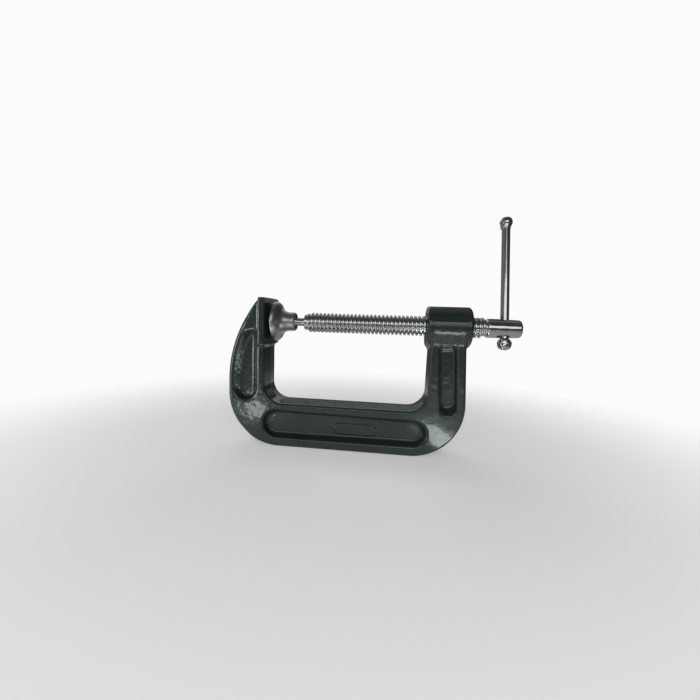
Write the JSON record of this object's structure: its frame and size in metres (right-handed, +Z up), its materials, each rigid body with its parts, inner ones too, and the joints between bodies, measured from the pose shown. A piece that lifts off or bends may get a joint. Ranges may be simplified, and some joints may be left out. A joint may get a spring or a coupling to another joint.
{
  "type": "c clamp",
  "caption": "Cast C clamp: a deep C frame with a fixed jaw, a threaded screw through a boss, a swivel pad on its ball tip and a sliding tommy bar.",
  "frame": {"origin": "centre of the fixed jaw's working face, on the screw axis", "axes": "+X along the screw from the fixed jaw towards the handle, +Z up and away from the spine, +Y across the frame"},
  "size_m": [0.1838, 0.0297, 0.1521],
  "materials": {
    "enamel": "gloss",
    "bright_plate": "polished",
    "dull_plate": "satin",
    "bar_plate": "polished"
  },
  "bodies": {
    "clamp_frame": {"frame": "enamel"},
    "feed_tip": {"screw_ball_tip": "bright_plate"},
    "clamp_screw": {"screw": "bright_plate"},
    "pad": {"swivel_pad": "dull_plate"},
    "handle_bar": {"tommy_bar": "bar_plate"}
  },
  "joints": [
    {"name": "screw_feed", "type": "slide", "parent": "clamp_frame", "child": "feed_tip", "axis": [1, 0, 0], "range_m": [0, 0.0813]},
    {"name": "screw_turn", "type": "hinge", "parent": "feed_tip", "child": "clamp_screw", "pos_m": [0.08, 0, 0], "axis": [1, 0, 0], "range_deg": [0, 11520]},
    {"name": "pad_tilt", "type": "hinge", "parent": "feed_tip", "child": "pad", "pos_m": [0.013, 0, 0], "axis": [0, 1, 0], "range_deg": [-8, 8]},
    {"name": "bar_slide", "type": "slide", "parent": "clamp_screw", "child": "handle_bar", "axis": [0, 0.1736, 0.9848], "range_m": [-0.0577, 0]}
  ],
  "couplings": [
    {"joint": "screw_feed", "follows": "screw_turn", "m_per_rad": 0.00040425}
  ]
}
